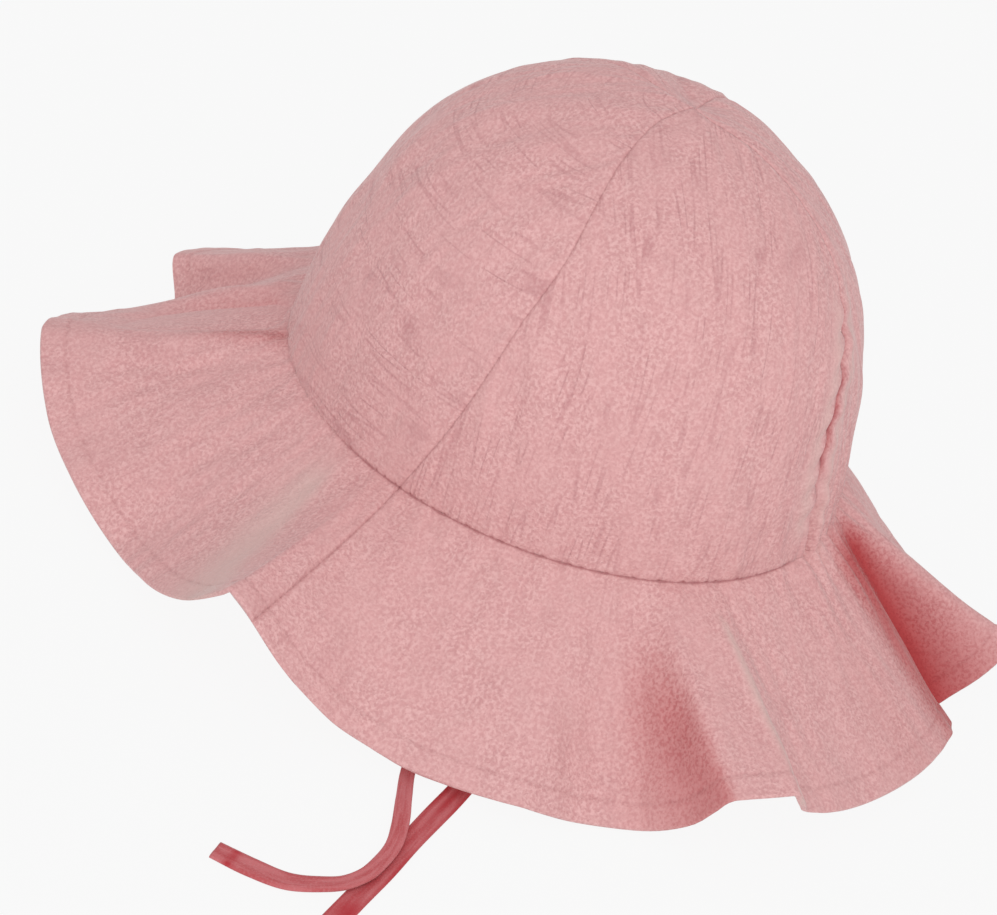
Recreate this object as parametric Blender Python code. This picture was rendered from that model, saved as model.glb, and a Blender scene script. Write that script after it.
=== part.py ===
"""A toddler's sun hat of crinkled cotton: four crown panels, a wavy brim in two halves, two flat ties.

The hat stands on the low points of its brim at Z = 0. The wearer faces -Y and the wearer's left is +X.
Azimuths are in degrees about +Z from +X, so the side seams are at 0 and 180 and the back seam at 90.
Metres throughout.
"""

import math

import bpy
import numpy as np

# Named sizes
OPENING_LENGTH = 0.174  # front to back over the cloth at the crown's seam
OPENING_WIDTH = 0.153  # side to side over the cloth at the crown's seam
CROWN_HEIGHT = 0.0992
BRIM_WIDTH = 0.067  # crown seam to hem, along the cloth
SEAT_HEIGHT = 0.0472  # the middle of the crown's seam above the surface
LEAN = 1.7  # degrees that the hat leans towards LEAN_TO
LEAN_TO = -60.0
MIDDLE_X, MIDDLE_Y = 0.0060, -0.0025  # the middle of the brim's box, which goes over the origin
CLOTH = 0.0016
TIE_WIDTH = 0.0066
TIE_THICK = 0.0015
GAP = 0.0003
APEX_BACK = 0.0074  # the four seams meet behind the middle
APEX_SIDE = -0.0066
BACK_FLAT = 0.050  # how far the crown is flattened behind, as a share
ELASTIC_PULL = 0.035  # how much further the elastic draws it in at its seam
ELASTIC_AT = 130.0

# The crown, level by level from its seam to its top
CROWN_LEVELS = [
    # height, radius, lean_back
    (0.00, 1.000, 0.000),
    (0.08, 0.986, 0.002),
    (0.20, 0.964, 0.005),
    (0.35, 0.925, 0.008),
    (0.50, 0.868, 0.010),
    (0.65, 0.780, 0.010),
    (0.78, 0.656, 0.006),
    (0.88, 0.498, 0.000),
    (0.95, 0.320, -0.006),
    (0.985, 0.168, -0.005),
    (1.00, 0.000, 0.000),
]

# Flat places of the crown: where they are, how far they reach round and up it, and how far they sink
CROWN_DENTS = [
    # azimuth, level, width, height, sink
    (-57, 0.37, 35, 0.12, 0.0014),
    (-168, 0.92, 50, 0.08, 0.0028),
]

# How far each panel seam drifts round the crown, in degrees, by the share of the way to the top
SEAM_DRIFT = [
    # level, left_side, back, right_side, front
    (0.0, 0, -1, 0, 0),
    (0.2, 6, -2, 0, 0),
    (0.4, 10, 8, 0, -6),
    (0.6, 14, 18, 0, -16),
    (0.8, 12, 21, 0, -28),
    (1.0, 0, 0, 0, -28),
]

# The brim, fold by fold: where the fold leaves the crown, where it meets the hem, how steeply it
# falls and how much of the brim's width it shows
BRIM_FOLDS = [
    # crown_azimuth, hem_azimuth, slope, width
    (-108, -108, 36, 1.00),
    (-99, -99, 33, 1.00),
    (-92, -91, 29, 1.00),
    (-89, -88, 28, 1.00),
    (-84, -84.5, 39.5, 0.98),
    (-76, -76, 34, 0.99),
    (-68, -68, 27, 1.00),
    (-61, -60, 18, 1.01),
    (-55, -53, 12, 1.03),
    (-45, -43, 21, 1.03),
    (-36, -34, 27, 1.01),
    (-26, -24, 35, 0.99),
    (-17, -16, 31, 0.98),
    (-10, -8, 21, 0.98),
    (-5, -1.2, 7.6, 0.98),
    (-4, 0, 5, 0.98),
    (-3, 1, 5.9, 0.98),
    (0, 3.3, 10, 0.97),
    (7, 9, 21, 0.98),
    (15, 16, 33, 0.98),
    (25, 25, 36, 1.00),
    (36, 36, 35.5, 1.00),
    (44, 45.5, 44.5, 0.985),
    (48, 50, 44.5, 0.985),
    (50, 53.1, 37.5, 0.99),
    (51.2, 55, 31, 0.99),
    (52.2, 55.9, 25, 0.985),
    (53.2, 56.7, 19.6, 0.985),
    (55, 57.8, 18.2, 0.985),
    (63, 64.2, 17.6, 0.985),
    (65, 65.9, 22, 0.99),
    (67, 67.7, 27, 0.99),
    (73, 73, 31, 1.00),
    (79, 79, 34, 1.00),
    (90, 90, 35, 1.00),
    (98, 98, 37, 1.00),
    (103, 103, 40, 1.00),
    (108, 108, 47.5, 1.00),
    (110, 110, 43, 1.00),
    (111.5, 111.5, 33, 1.00),
    (113, 113, 25.5, 1.00),
    (114.5, 114.5, 24, 1.00),
    (118, 118, 31, 1.00),
    (124, 124, 40, 1.00),
    (132, 132, 45, 0.98),
    (142, 142, 49, 0.94),
    (154, 154, 52, 0.90),
    (166, 166, 51, 0.92),
    (178, 178, 43, 0.98),
    (192, 192, 34, 1.00),
    (212, 212, 42, 0.99),
    (230, 230, 40, 1.00),
    (241, 241, 40, 1.00),
]

# Where the ties run, in millimetres: sewn inside the crown at the side seams, down to the
# surface, and out under the brim beside the wearer's left side
TIE_LEFT_ROUTE = [
    # x, y, z, twist
    (72.8, 0.0, 51.0, 0),
    (73.0, 0.0, 40.0, 0),
    (72.8, -0.2, 28.0, 0),
    (71.2, -1.0, 16.0, 0),
    (66.0, -3.0, 7.0, 0),
    (58.0, -5.5, 2.2, 0),
    (48.0, -7.0, 0.9, 0),
    (37.0, -4.5, 0.9, 0),
    (30.0, 4.0, 0.9, 0),
    (30.5, 15.0, 0.9, 0),
    (39.5, 24.0, 0.9, 0),
    (55.0, 30.0, 0.9, 0),
    (75.0, 35.5, 0.9, 0),
    (96.0, 43.0, 1.0, 12),
    (115.5, 52.4, 2.4, 32),
    (124.8, 59.0, 3.0, 26),
    (134.2, 65.8, 3.0, 8),
    (141.6, 69.9, 2.8, 0),
    (148.6, 71.9, 2.8, 0),
    (156.4, 72.9, 2.8, 0),
    (163.3, 71.4, 2.8, 0),
    (168.6, 67.2, 2.3, 0),
    (172.9, 61.5, 1.2, 0),
    (176.9, 52.2, 0.9, 0),
    (180.0, 42.2, 0.9, 0),
]
TIE_RIGHT_ROUTE = [
    # x, y, z, twist
    (-70.8, 0.0, 53.0, 0),
    (-71.4, 0.0, 41.0, 0),
    (-71.2, 0.2, 29.0, 0),
    (-69.4, 1.2, 16.0, 0),
    (-64.0, 3.0, 6.6, 0),
    (-54.0, 6.0, 1.8, 0),
    (-40.0, 10.5, 0.9, 0),
    (-20.0, 18.0, 0.9, 0),
    (5.0, 28.0, 0.9, 0),
    (32.0, 38.3, 0.9, 0),
    (60.0, 48.6, 0.9, 0),
    (86.0, 57.6, 0.9, 0),
    (107.9, 63.6, 0.9, 0),
    (124.2, 67.0, 0.9, 0),
    (140.0, 70.3, 0.9, 0),
    (155.7, 73.7, 0.9, 0),
    (170.7, 76.8, 0.9, 0),
    (180.0, 78.8, 0.9, 0),
]

CROWN_COLUMNS, CROWN_ROWS = 18, 14
TIE_STEPS = 84
BRIM_COLUMNS, BRIM_ROWS = 74, 7
FOLD_DETAIL = 0.3  # how much closer the columns stand for each degree of slope per degree of azimuth


def column(rows, index):
    return np.array([float(row[index]) for row in rows])


def eased(x, knots, values, around=0.0):
    """A smooth curve through a table's values. It never swings past them. around: the knots repeat."""
    if around:
        knots = np.concatenate([knots[-3:] - around, knots, knots[:3] + around])
        values = np.concatenate([values[-3:], values, values[:3]])
        x = (np.asarray(x, float) - knots[3]) % around + knots[3]
    x = np.clip(np.asarray(x, float), knots[0], knots[-1])
    step, rise = np.diff(knots), np.diff(values) / np.diff(knots)
    slope = np.zeros(len(knots))
    slope[0], slope[-1] = rise[0], rise[-1]
    same = rise[:-1] * rise[1:] > 0
    w1, w2 = 2 * step[1:] + step[:-1], step[1:] + 2 * step[:-1]
    inner = (w1 + w2)[same] / (w1[same] / rise[:-1][same] + w2[same] / rise[1:][same])
    slope[1:-1][same] = inner
    i = np.clip(np.searchsorted(knots, x, side="right") - 1, 0, len(step) - 1)
    h = step[i]
    t = (x - knots[i]) / h
    return (
        (1 + 2 * t) * (1 - t) ** 2 * values[i]
        + t * (1 - t) ** 2 * h * slope[i]
        + t * t * (3 - 2 * t) * values[i + 1]
        + t * t * (t - 1) * h * slope[i + 1]
    )


def seam_ring(azimuth, level=0.0):
    """A point of the crown's seam line and the outward direction there, in plan."""
    a = np.radians(azimuth)
    off = (np.asarray(azimuth, float) - ELASTIC_AT + 180) % 360 - 180
    pull = BACK_FLAT + ELASTIC_PULL * max(0.0, 1 - level / 0.35) ** 1.5
    drawn = 1 - pull * np.exp(-((off / 42) ** 2))
    half_x, half_y = OPENING_WIDTH / 2, OPENING_LENGTH / 2
    point = np.stack([half_x * np.cos(a) * drawn, half_y * np.sin(a) * drawn], -1)
    out = np.stack([half_y * np.cos(a), half_x * np.sin(a)], -1)
    return point, out / np.linalg.norm(out, axis=-1, keepdims=True)


def settled(points):
    """Points about the middle of the crown's seam, as they stand on the surface with the hat's lean."""
    a, lean = math.radians(LEAN_TO), math.radians(LEAN)
    axis = np.array([-math.sin(a), math.cos(a), 0])
    turned = (
        points * math.cos(lean)
        + np.cross(axis, points) * math.sin(lean)
        + axis * (points @ axis)[..., None] * (1 - math.cos(lean))
    )
    return turned + np.array([-MIDDLE_X, -MIDDLE_Y, SEAT_HEIGHT])


def crown_surface(azimuth, level):
    """The outside of the crown. level runs from 0 at the seam to 1 at the top, evenly along the cloth."""
    azimuth = np.asarray(azimuth, float)
    heights, radii = column(CROWN_LEVELS, 0), column(CROWN_LEVELS, 1)
    marks = np.concatenate([[0], np.cumsum(np.hypot(np.diff(heights) * 1.2, np.diff(radii)))])
    marks /= marks[-1]
    level = np.clip(level, 0, 1)
    height = eased(level, marks, heights)
    radius = eased(level, marks, radii)
    ring, _ = seam_ring(azimuth, level)
    shift = (1 - radius) ** 2
    bulge = 1 + 0.010 * np.sin(math.pi * level) * (0.5 - 0.5 * np.cos(4 * np.radians(azimuth)))
    lean_back = OPENING_LENGTH * eased(level, marks, column(CROWN_LEVELS, 2))
    x = ring[..., 0] * radius * bulge + APEX_SIDE * shift
    y = ring[..., 1] * radius * bulge + APEX_BACK * shift + lean_back
    points = np.stack([x, y, CROWN_HEIGHT * height + 0 * x], -1)
    inwards = np.array([0, 0, CROWN_HEIGHT / 3]) - points
    inwards /= np.linalg.norm(inwards, axis=-1, keepdims=True)
    for at, middle, width, tall, sink in CROWN_DENTS:
        off = (azimuth - at + 180) % 360 - 180
        depth = sink * np.exp(-((off / width) ** 2) - ((level - middle) / tall) ** 2)
        points = points + inwards * depth[..., None]
    return settled(points)


def panel_seam(number, level):
    """The azimuth of a panel seam. number counts from the wearer's left side, counter-clockwise from above."""
    levels = column(SEAM_DRIFT, 0)
    return 90.0 * number + float(eased(level, levels, column(SEAM_DRIFT, 1 + number % 4)))


def brim_surface(azimuth, share):
    """The top of the brim. share runs from 0 at the crown's seam to 1 at the hem."""
    azimuth = np.asarray(azimuth, float)
    at = column(BRIM_FOLDS, 0)
    turn = eased(azimuth, at, column(BRIM_FOLDS, 1) - at, 360.0)
    slope = np.radians(eased(azimuth, at, column(BRIM_FOLDS, 2), 360.0))
    width = BRIM_WIDTH * eased(azimuth, at, column(BRIM_FOLDS, 3), 360.0)
    root = 0.65 * slope + 0.35 * math.radians(33)
    local = root + (slope - root) * np.maximum(share, 1e-6) ** 0.6
    start, _ = seam_ring(azimuth)
    end, out = seam_ring(azimuth + turn)
    reach, drop = width * share * np.cos(local), width * share * np.sin(local)
    plan = start + (end - start) * share + out * reach[..., None]
    return settled(np.concatenate([plan, (-GAP - drop)[..., None]], -1))


def facing(surface, azimuth, share):
    """Unit normals of a surface, pointing up and out."""
    step = 1e-3
    low, high = max(share - step, 0.0), min(share + step, 1.0)
    along = surface(azimuth + 0.1, share) - surface(azimuth - 0.1, share)
    across = surface(azimuth, high) - surface(azimuth, low)
    normal = np.cross(along, across)
    normal /= np.maximum(np.linalg.norm(normal, axis=-1, keepdims=True), 1e-15)
    point = surface(azimuth, share)
    outward = point[..., :2] * normal[..., :2]
    sign = np.sign(outward.sum(axis=-1) / 0.08 + normal[..., 2])
    return normal * sign[..., None]


def add_wall(name, outer, inner, material):
    """A closed wall between two grids of the same shape. Equal points of a row become one."""
    rows, columns = outer.shape[:2]
    points = np.concatenate([outer.reshape(-1, 3), inner.reshape(-1, 3)])
    count = rows * columns

    def number(side, i, j):
        return side * count + i * columns + j

    faces = []
    for i in range(rows - 1):
        for j in range(columns - 1):
            a, b = number(0, i, j), number(0, i, j + 1)
            c, d = number(0, i + 1, j + 1), number(0, i + 1, j)
            faces.append((a, b, c, d))
            faces.append((d + count, c + count, b + count, a + count))
    rim = [(0, j) for j in range(columns)]
    rim += [(i, columns - 1) for i in range(1, rows)]
    rim += [(rows - 1, j) for j in range(columns - 2, -1, -1)]
    rim += [(i, 0) for i in range(rows - 2, 0, -1)]
    for (i, j), (k, m) in zip(rim, rim[1:] + rim[:1]):
        a, b = number(0, i, j), number(0, k, m)
        faces.append((b, a, a + count, b + count))
    keys, index = np.unique(np.round(points * 1e7).astype(np.int64), axis=0, return_inverse=True)
    index = index.reshape(-1)
    kept = []
    for face in faces:
        ring = [int(index[v]) for v in face]
        ring = [v for n, v in enumerate(ring) if v != ring[n - 1]]
        if len(set(ring)) >= 3:
            kept.append(tuple(ring))
    first = np.zeros(len(keys), int)
    first[index[::-1]] = np.arange(len(points))[::-1]
    mesh = bpy.data.meshes.new(name)
    mesh.from_pydata([tuple(p) for p in points[first]], [], kept)
    mesh.validate()
    mesh.update()
    obj = bpy.data.objects.new(name, mesh)
    bpy.context.scene.collection.objects.link(obj)
    obj.data.materials.append(material)
    volume = sum(
        np.dot(points[first][f[0]], np.cross(points[first][f[k]], points[first][f[k + 1]]))
        for f in kept
        for k in range(1, len(f) - 1)
    )
    if volume < 0:
        mesh.flip_normals()
    return obj


def cloth_material(name, color):
    material = bpy.data.materials.new(name)
    material.use_nodes = True
    shader = material.node_tree.nodes["Principled BSDF"]
    shader.inputs["Base Color"].default_value = (*color, 1)
    shader.inputs["Roughness"].default_value = 0.9
    return material


def add_crown_panel(name, number, material):
    """One of four panels, from one panel seam to the next."""
    outer, inner = [], []
    for level in np.linspace(0, 1, CROWN_ROWS + 1) ** 0.95:
        low, high = panel_seam(number, level), panel_seam(number + 1, level)
        radius = float(np.linalg.norm(np.ptp(crown_surface(np.arange(0, 360, 30), level), axis=0)[:2]) / 2.83)
        if level < 1:
            edge = math.degrees(GAP / 2 / radius)
            angles = np.linspace(low + edge, high - edge, CROWN_COLUMNS + 1)
            ring = crown_surface(angles, level)
            normal = facing(crown_surface, angles, float(level))
        else:
            tip = math.radians((low + high) / 2)
            ring = crown_surface(np.full(CROWN_COLUMNS + 1, 0.0), 1.0)
            ring += GAP * 0.72 * np.array([math.cos(tip), math.sin(tip), 0])
            normal = np.array([[0, 0, 1.0]] * (CROWN_COLUMNS + 1))
        outer.append(ring)
        inner.append(ring - CLOTH * normal)
    first = np.degrees(GAP / OPENING_WIDTH)
    angles = np.linspace(panel_seam(number, 0) + first, panel_seam(number + 1, 0) - first, CROWN_COLUMNS + 1)
    point, out = seam_ring(angles)
    inner[0] = settled(np.concatenate([point - CLOTH * out, 0 * point[:, :1]], -1))
    return add_wall(name, np.array(outer), np.array(inner), material)


def spread_columns(first, last, count):
    """Azimuths from first to last, closer together where the brim's slope changes fast."""
    fine = np.linspace(first, last, 1441)
    slope = eased(fine, column(BRIM_FOLDS, 0), column(BRIM_FOLDS, 2), 360.0)
    run = np.cumsum(1 + FOLD_DETAIL * np.abs(np.gradient(slope, fine)))
    return np.interp(np.linspace(run[0], run[-1], count + 1), run, fine)


def add_brim_half(name, first, material):
    """A half of the brim, from one side seam to the other."""
    edge = math.degrees(GAP / OPENING_WIDTH)
    angles = spread_columns(first + edge, first + 180 - edge, BRIM_COLUMNS)
    shares = np.linspace(0, 1, BRIM_ROWS + 1)
    top = np.array([brim_surface(angles, share) for share in shares])
    normal = np.array([facing(brim_surface, angles, float(share)) for share in shares])
    under = top - CLOTH * normal
    point, out = seam_ring(angles)
    land = np.concatenate([point - CLOTH * out, np.full((len(angles), 1), -GAP)], -1)[None]
    land, below = settled(land), settled(land - np.array([0, 0, CLOTH]))
    return add_wall(name, np.concatenate([land, top]), np.concatenate([below, under]), material)


def smooth_route(rows, count):
    """Evenly spaced points along a smooth line through a route's rows, with the twist at each."""
    knots = np.array(rows, float)
    places = np.concatenate([[0], np.cumsum(np.linalg.norm(np.diff(knots[:, :3], axis=0), axis=1))])
    slopes = np.gradient(knots, places, axis=0)
    fine = np.linspace(0, places[-1], 2001)
    i = np.clip(np.searchsorted(places, fine, side="right") - 1, 0, len(places) - 2)
    h = (places[i + 1] - places[i])[:, None]
    t = (fine - places[i])[:, None] / h
    line = (
        (1 + 2 * t) * (1 - t) ** 2 * knots[i]
        + t * (1 - t) ** 2 * h * slopes[i]
        + t * t * (3 - 2 * t) * knots[i + 1]
        + t * t * (t - 1) * h * slopes[i + 1]
    )
    run = np.concatenate([[0], np.cumsum(np.linalg.norm(np.diff(line[:, :3], axis=0), axis=1))])
    marks = np.linspace(0, run[-1], count + 1)
    line = np.stack([np.interp(marks, run, line[:, k]) for k in range(4)], -1)
    points, twist = line[:, :3] / 1000, np.radians(line[:, 3])
    lowest = TIE_THICK / 2 + 0.0001 + TIE_WIDTH / 2 * np.abs(np.sin(twist))
    points[:, 2] = np.maximum(points[:, 2], lowest)
    return points - np.array([MIDDLE_X, MIDDLE_Y, 0]), twist


def ribbon_frames(line, twist):
    """The direction across a flat tie and the one out of its face: inwards inside the crown, up on the surface."""
    forward = np.gradient(line, axis=0)
    forward /= np.linalg.norm(forward, axis=1, keepdims=True)
    inwards = np.array([-np.sign(line[0, 0]), 0.0, 0.0])
    high = np.clip(line[:, 2:] / 0.04, 0, 1)
    face = inwards * high + np.array([0, 0, 1.0]) * (1 - high)
    face = face - forward * (face * forward).sum(axis=1, keepdims=True)
    face /= np.linalg.norm(face, axis=1, keepdims=True)
    across = np.cross(face, forward)
    turn = twist[:, None]
    side = across * np.cos(turn) + face * np.sin(turn)
    return side, np.cross(forward, side)


def add_tie(name, rows, material):
    line, twist = smooth_route(rows, TIE_STEPS)
    sides, faces = ribbon_frames(line, twist)
    half, thick = TIE_WIDTH / 2 * sides, TIE_THICK / 2 * faces
    upper = np.array([line - half + thick, line + half + thick])
    lower = np.array([line - half - thick, line + half - thick])
    return add_wall(name, upper, lower, material)


def main():
    for old in list(bpy.data.objects):
        bpy.data.objects.remove(old, do_unlink=True)
    pink = cloth_material("crinkled_cotton_pink", (0.68, 0.38, 0.38))
    rose = cloth_material("tie_cotton_rose", (0.55, 0.16, 0.19))
    add_crown_panel("crown_panel_back_left", 0, pink)
    add_crown_panel("crown_panel_back_right", 1, pink)
    add_crown_panel("crown_panel_front_right", 2, pink)
    add_crown_panel("crown_panel_front_left", 3, pink)
    add_brim_half("brim_back", 0.0, pink)
    add_brim_half("brim_front", 180.0, pink)
    add_tie("tie_left", TIE_LEFT_ROUTE, rose)
    add_tie("tie_right", TIE_RIGHT_ROUTE, rose)


main()
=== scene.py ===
"""Looks for the sun hat: crinkled cotton crown and brim, folded cotton ties, soft studio light."""

import math

import bmesh
import bpy
import numpy as np
from mathutils import Euler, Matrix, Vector


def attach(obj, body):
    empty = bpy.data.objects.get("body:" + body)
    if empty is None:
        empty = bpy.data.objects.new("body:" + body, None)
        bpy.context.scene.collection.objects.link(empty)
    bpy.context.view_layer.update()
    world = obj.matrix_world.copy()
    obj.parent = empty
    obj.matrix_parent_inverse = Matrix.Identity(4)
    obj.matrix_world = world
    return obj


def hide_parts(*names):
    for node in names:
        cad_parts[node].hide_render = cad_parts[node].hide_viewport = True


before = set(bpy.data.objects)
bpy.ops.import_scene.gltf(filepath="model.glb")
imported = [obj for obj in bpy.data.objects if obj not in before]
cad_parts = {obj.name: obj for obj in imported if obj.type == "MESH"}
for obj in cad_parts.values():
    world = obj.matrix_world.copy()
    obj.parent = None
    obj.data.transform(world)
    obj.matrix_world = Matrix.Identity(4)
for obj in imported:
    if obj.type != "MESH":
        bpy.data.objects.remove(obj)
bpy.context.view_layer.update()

# Sizes shared with the solids, in metres and degrees
OPENING_LENGTH, OPENING_WIDTH = 0.174, 0.153
CROWN_HEIGHT = 0.0992
BRIM_WIDTH = 0.067
SEAT_HEIGHT = 0.0472
LEAN, LEAN_TO = 1.7, -60.0
MIDDLE_X, MIDDLE_Y = 0.0060, -0.0025
CLOTH = 0.0012
TIE_WIDTH, TIE_THICK = 0.0066, 0.0015
APEX_BACK, APEX_SIDE = 0.0074, -0.0066
BACK_FLAT, ELASTIC_PULL, ELASTIC_AT = 0.050, 0.035, 130.0
BRIM_SLOPE = 33  # the brim's mean fall
SEAM_RADIUS, BRIM_RADIUS = 0.082, 0.105  # mean radii, to turn azimuths into lengths of cloth
HEM_STITCH = 0.0067  # from the edge of the hem to its stitch line
BRIM_UV = 40  # where the brim's UV starts, in centimetres

CROWN_LEVELS = [
    # height, radius, lean_back
    (0.00, 1.000, 0.000),
    (0.08, 0.986, 0.002),
    (0.20, 0.964, 0.005),
    (0.35, 0.925, 0.008),
    (0.50, 0.868, 0.010),
    (0.65, 0.780, 0.010),
    (0.78, 0.656, 0.006),
    (0.88, 0.498, 0.000),
    (0.95, 0.320, -0.006),
    (0.985, 0.168, -0.005),
    (1.00, 0.000, 0.000),
]
# Flat places of the crown: where they are, how far they reach round and up it, and how far they sink
CROWN_DENTS = [
    # azimuth, level, width, height, sink
    (-57, 0.37, 35, 0.12, 0.0014),
    (-168, 0.92, 50, 0.08, 0.0028),
]

SEAM_DRIFT = [
    # level, left_side, back, right_side, front
    (0.0, 0, -1, 0, 0),
    (0.2, 6, -2, 0, 0),
    (0.4, 10, 8, 0, -6),
    (0.6, 14, 18, 0, -16),
    (0.8, 12, 21, 0, -28),
    (1.0, 0, 0, 0, -28),
]
BRIM_FOLDS = [
    # crown_azimuth, hem_azimuth, slope, width
    (-108, -108, 36, 1.00),
    (-99, -99, 33, 1.00),
    (-92, -91, 29, 1.00),
    (-89, -88, 28, 1.00),
    (-84, -84.5, 39.5, 0.98),
    (-76, -76, 34, 0.99),
    (-68, -68, 27, 1.00),
    (-61, -60, 18, 1.01),
    (-55, -53, 12, 1.03),
    (-45, -43, 21, 1.03),
    (-36, -34, 27, 1.01),
    (-26, -24, 35, 0.99),
    (-17, -16, 31, 0.98),
    (-10, -8, 21, 0.98),
    (-5, -1.2, 7.6, 0.98),
    (-4, 0, 5, 0.98),
    (-3, 1, 5.9, 0.98),
    (0, 3.3, 10, 0.97),
    (7, 9, 21, 0.98),
    (15, 16, 33, 0.98),
    (25, 25, 36, 1.00),
    (36, 36, 35.5, 1.00),
    (44, 45.5, 44.5, 0.985),
    (47.2, 50, 44.5, 0.985),
    (49, 53.1, 37.5, 0.99),
    (50.2, 55, 31, 0.99),
    (51.1, 55.9, 25, 0.985),
    (52, 56.7, 19.6, 0.985),
    (54, 57.8, 18.2, 0.985),
    (63, 64.2, 17.6, 0.985),
    (65, 65.9, 22, 0.99),
    (67, 67.7, 27, 0.99),
    (73, 73, 31, 1.00),
    (79, 79, 34, 1.00),
    (90, 90, 35, 1.00),
    (98, 98, 37, 1.00),
    (103, 103, 40, 1.00),
    (108, 108, 47.5, 1.00),
    (110, 110, 43, 1.00),
    (111.5, 111.5, 33, 1.00),
    (113, 113, 25.5, 1.00),
    (114.5, 114.5, 24, 1.00),
    (118, 118, 31, 1.00),
    (124, 124, 40, 1.00),
    (132, 132, 45, 0.98),
    (142, 142, 49, 0.94),
    (154, 154, 52, 0.90),
    (166, 166, 51, 0.92),
    (178, 178, 43, 0.98),
    (192, 192, 34, 1.00),
    (212, 212, 42, 0.99),
    (230, 230, 40, 1.00),
    (241, 241, 40, 1.00),
]
TIE_LEFT_ROUTE = [
    # x, y, z, twist, in millimetres and degrees
    (72.8, 0.0, 51.0, 0),
    (73.0, 0.0, 40.0, 0),
    (72.8, -0.2, 28.0, 0),
    (71.2, -1.0, 16.0, 0),
    (66.0, -3.0, 7.0, 0),
    (58.0, -5.5, 2.2, 0),
    (48.0, -7.0, 0.9, 0),
    (37.0, -4.5, 0.9, 0),
    (30.0, 4.0, 0.9, 0),
    (30.5, 15.0, 0.9, 0),
    (39.5, 24.0, 0.9, 0),
    (55.0, 30.0, 0.9, 0),
    (75.0, 35.5, 0.9, 0),
    (96.0, 43.0, 1.0, 12),
    (115.5, 52.4, 2.4, 32),
    (124.8, 59.0, 3.0, 26),
    (134.2, 65.8, 3.0, 8),
    (141.6, 69.9, 2.8, 0),
    (148.6, 71.9, 2.8, 0),
    (156.4, 72.9, 2.8, 0),
    (163.3, 71.4, 2.8, 0),
    (168.6, 67.2, 2.3, 0),
    (172.9, 61.5, 1.2, 0),
    (176.9, 52.2, 0.9, 0),
    (180.0, 42.2, 0.9, 0),
]
TIE_RIGHT_ROUTE = [
    # x, y, z, twist, in millimetres and degrees
    (-70.8, 0.0, 53.0, 0),
    (-71.4, 0.0, 41.0, 0),
    (-71.2, 0.2, 29.0, 0),
    (-69.4, 1.2, 16.0, 0),
    (-64.0, 3.0, 6.6, 0),
    (-54.0, 6.0, 1.8, 0),
    (-40.0, 10.5, 0.9, 0),
    (-20.0, 18.0, 0.9, 0),
    (5.0, 28.0, 0.9, 0),
    (32.0, 38.3, 0.9, 0),
    (60.0, 48.6, 0.9, 0),
    (86.0, 57.6, 0.9, 0),
    (107.9, 63.6, 0.9, 0),
    (124.2, 67.0, 0.9, 0),
    (140.0, 70.3, 0.9, 0),
    (155.7, 73.7, 0.9, 0),
    (170.7, 76.8, 0.9, 0),
    (180.0, 78.8, 0.9, 0),
]

# Camera


def add_camera():
    data = bpy.data.cameras.new("camera")
    camera = bpy.data.objects.new("camera", data)
    bpy.context.scene.collection.objects.link(camera)
    camera.location = (0.7347, 0.4119, 0.5798)
    camera.rotation_euler = Euler([math.radians(a) for a in (55.318, -14.486, 129.779)])
    data.sensor_fit = "HORIZONTAL"
    data.sensor_width = 36
    data.lens = 127.1
    data.clip_start, data.clip_end = 0.01, 20
    bpy.context.scene.camera = camera


add_camera()

# Surfaces of the hat


def column(rows, index):
    """One column of a table."""
    return np.array([float(row[index]) for row in rows])


def signed(angle):
    """The same way as an angle from -180 to 180 degrees."""
    return (angle + 180) % 360 - 180


def hermite(t, h, start, start_slope, end, end_slope):
    """The cubic between two knots that are h apart, at t of the way."""
    return (
        (1 + 2 * t) * (1 - t) ** 2 * start
        + t * (1 - t) ** 2 * h * start_slope
        + t * t * (3 - 2 * t) * end
        + t * t * (t - 1) * h * end_slope
    )


def eased(x, knots, values, around=0.0):
    """A smooth curve through a table's values. It never swings past them. around: the knots repeat."""
    if around:
        knots = np.concatenate([knots[-3:] - around, knots, knots[:3] + around])
        values = np.concatenate([values[-3:], values, values[:3]])
        x = (np.asarray(x, float) - knots[3]) % around + knots[3]
    x = np.clip(np.asarray(x, float), knots[0], knots[-1])
    step, rise = np.diff(knots), np.diff(values) / np.diff(knots)
    slope = np.zeros(len(knots))
    slope[0], slope[-1] = rise[0], rise[-1]
    same = rise[:-1] * rise[1:] > 0
    w1, w2 = 2 * step[1:] + step[:-1], step[1:] + 2 * step[:-1]
    slope[1:-1][same] = (w1 + w2)[same] / (w1[same] / rise[:-1][same] + w2[same] / rise[1:][same])
    i = np.clip(np.searchsorted(knots, x, side="right") - 1, 0, len(step) - 1)
    h = step[i]
    t = (x - knots[i]) / h
    return hermite(t, h, values[i], slope[i], values[i + 1], slope[i + 1])


def smooth_step(x, low, high):
    t = np.clip((x - low) / (high - low), 0, 1)
    return t * t * (3 - 2 * t)


def bell(x, width):
    """1 at x = 0, fading to 0 over a few widths."""
    return np.exp(-((x / width) ** 2))


def ripples(u, v, seed, across, along, count=14):
    """Soft irregular waves of unit size. across and along: the range of their wavelengths."""
    rng = np.random.default_rng(seed)
    total = 0
    for _ in range(count):
        ku = 2 * math.pi / rng.uniform(*across) * rng.choice([-1, 1])
        kv = 2 * math.pi / rng.uniform(*along)
        total = total + np.sin(ku * u + kv * v + rng.uniform(0, 2 * math.pi))
    return total / math.sqrt(count / 2)


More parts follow.
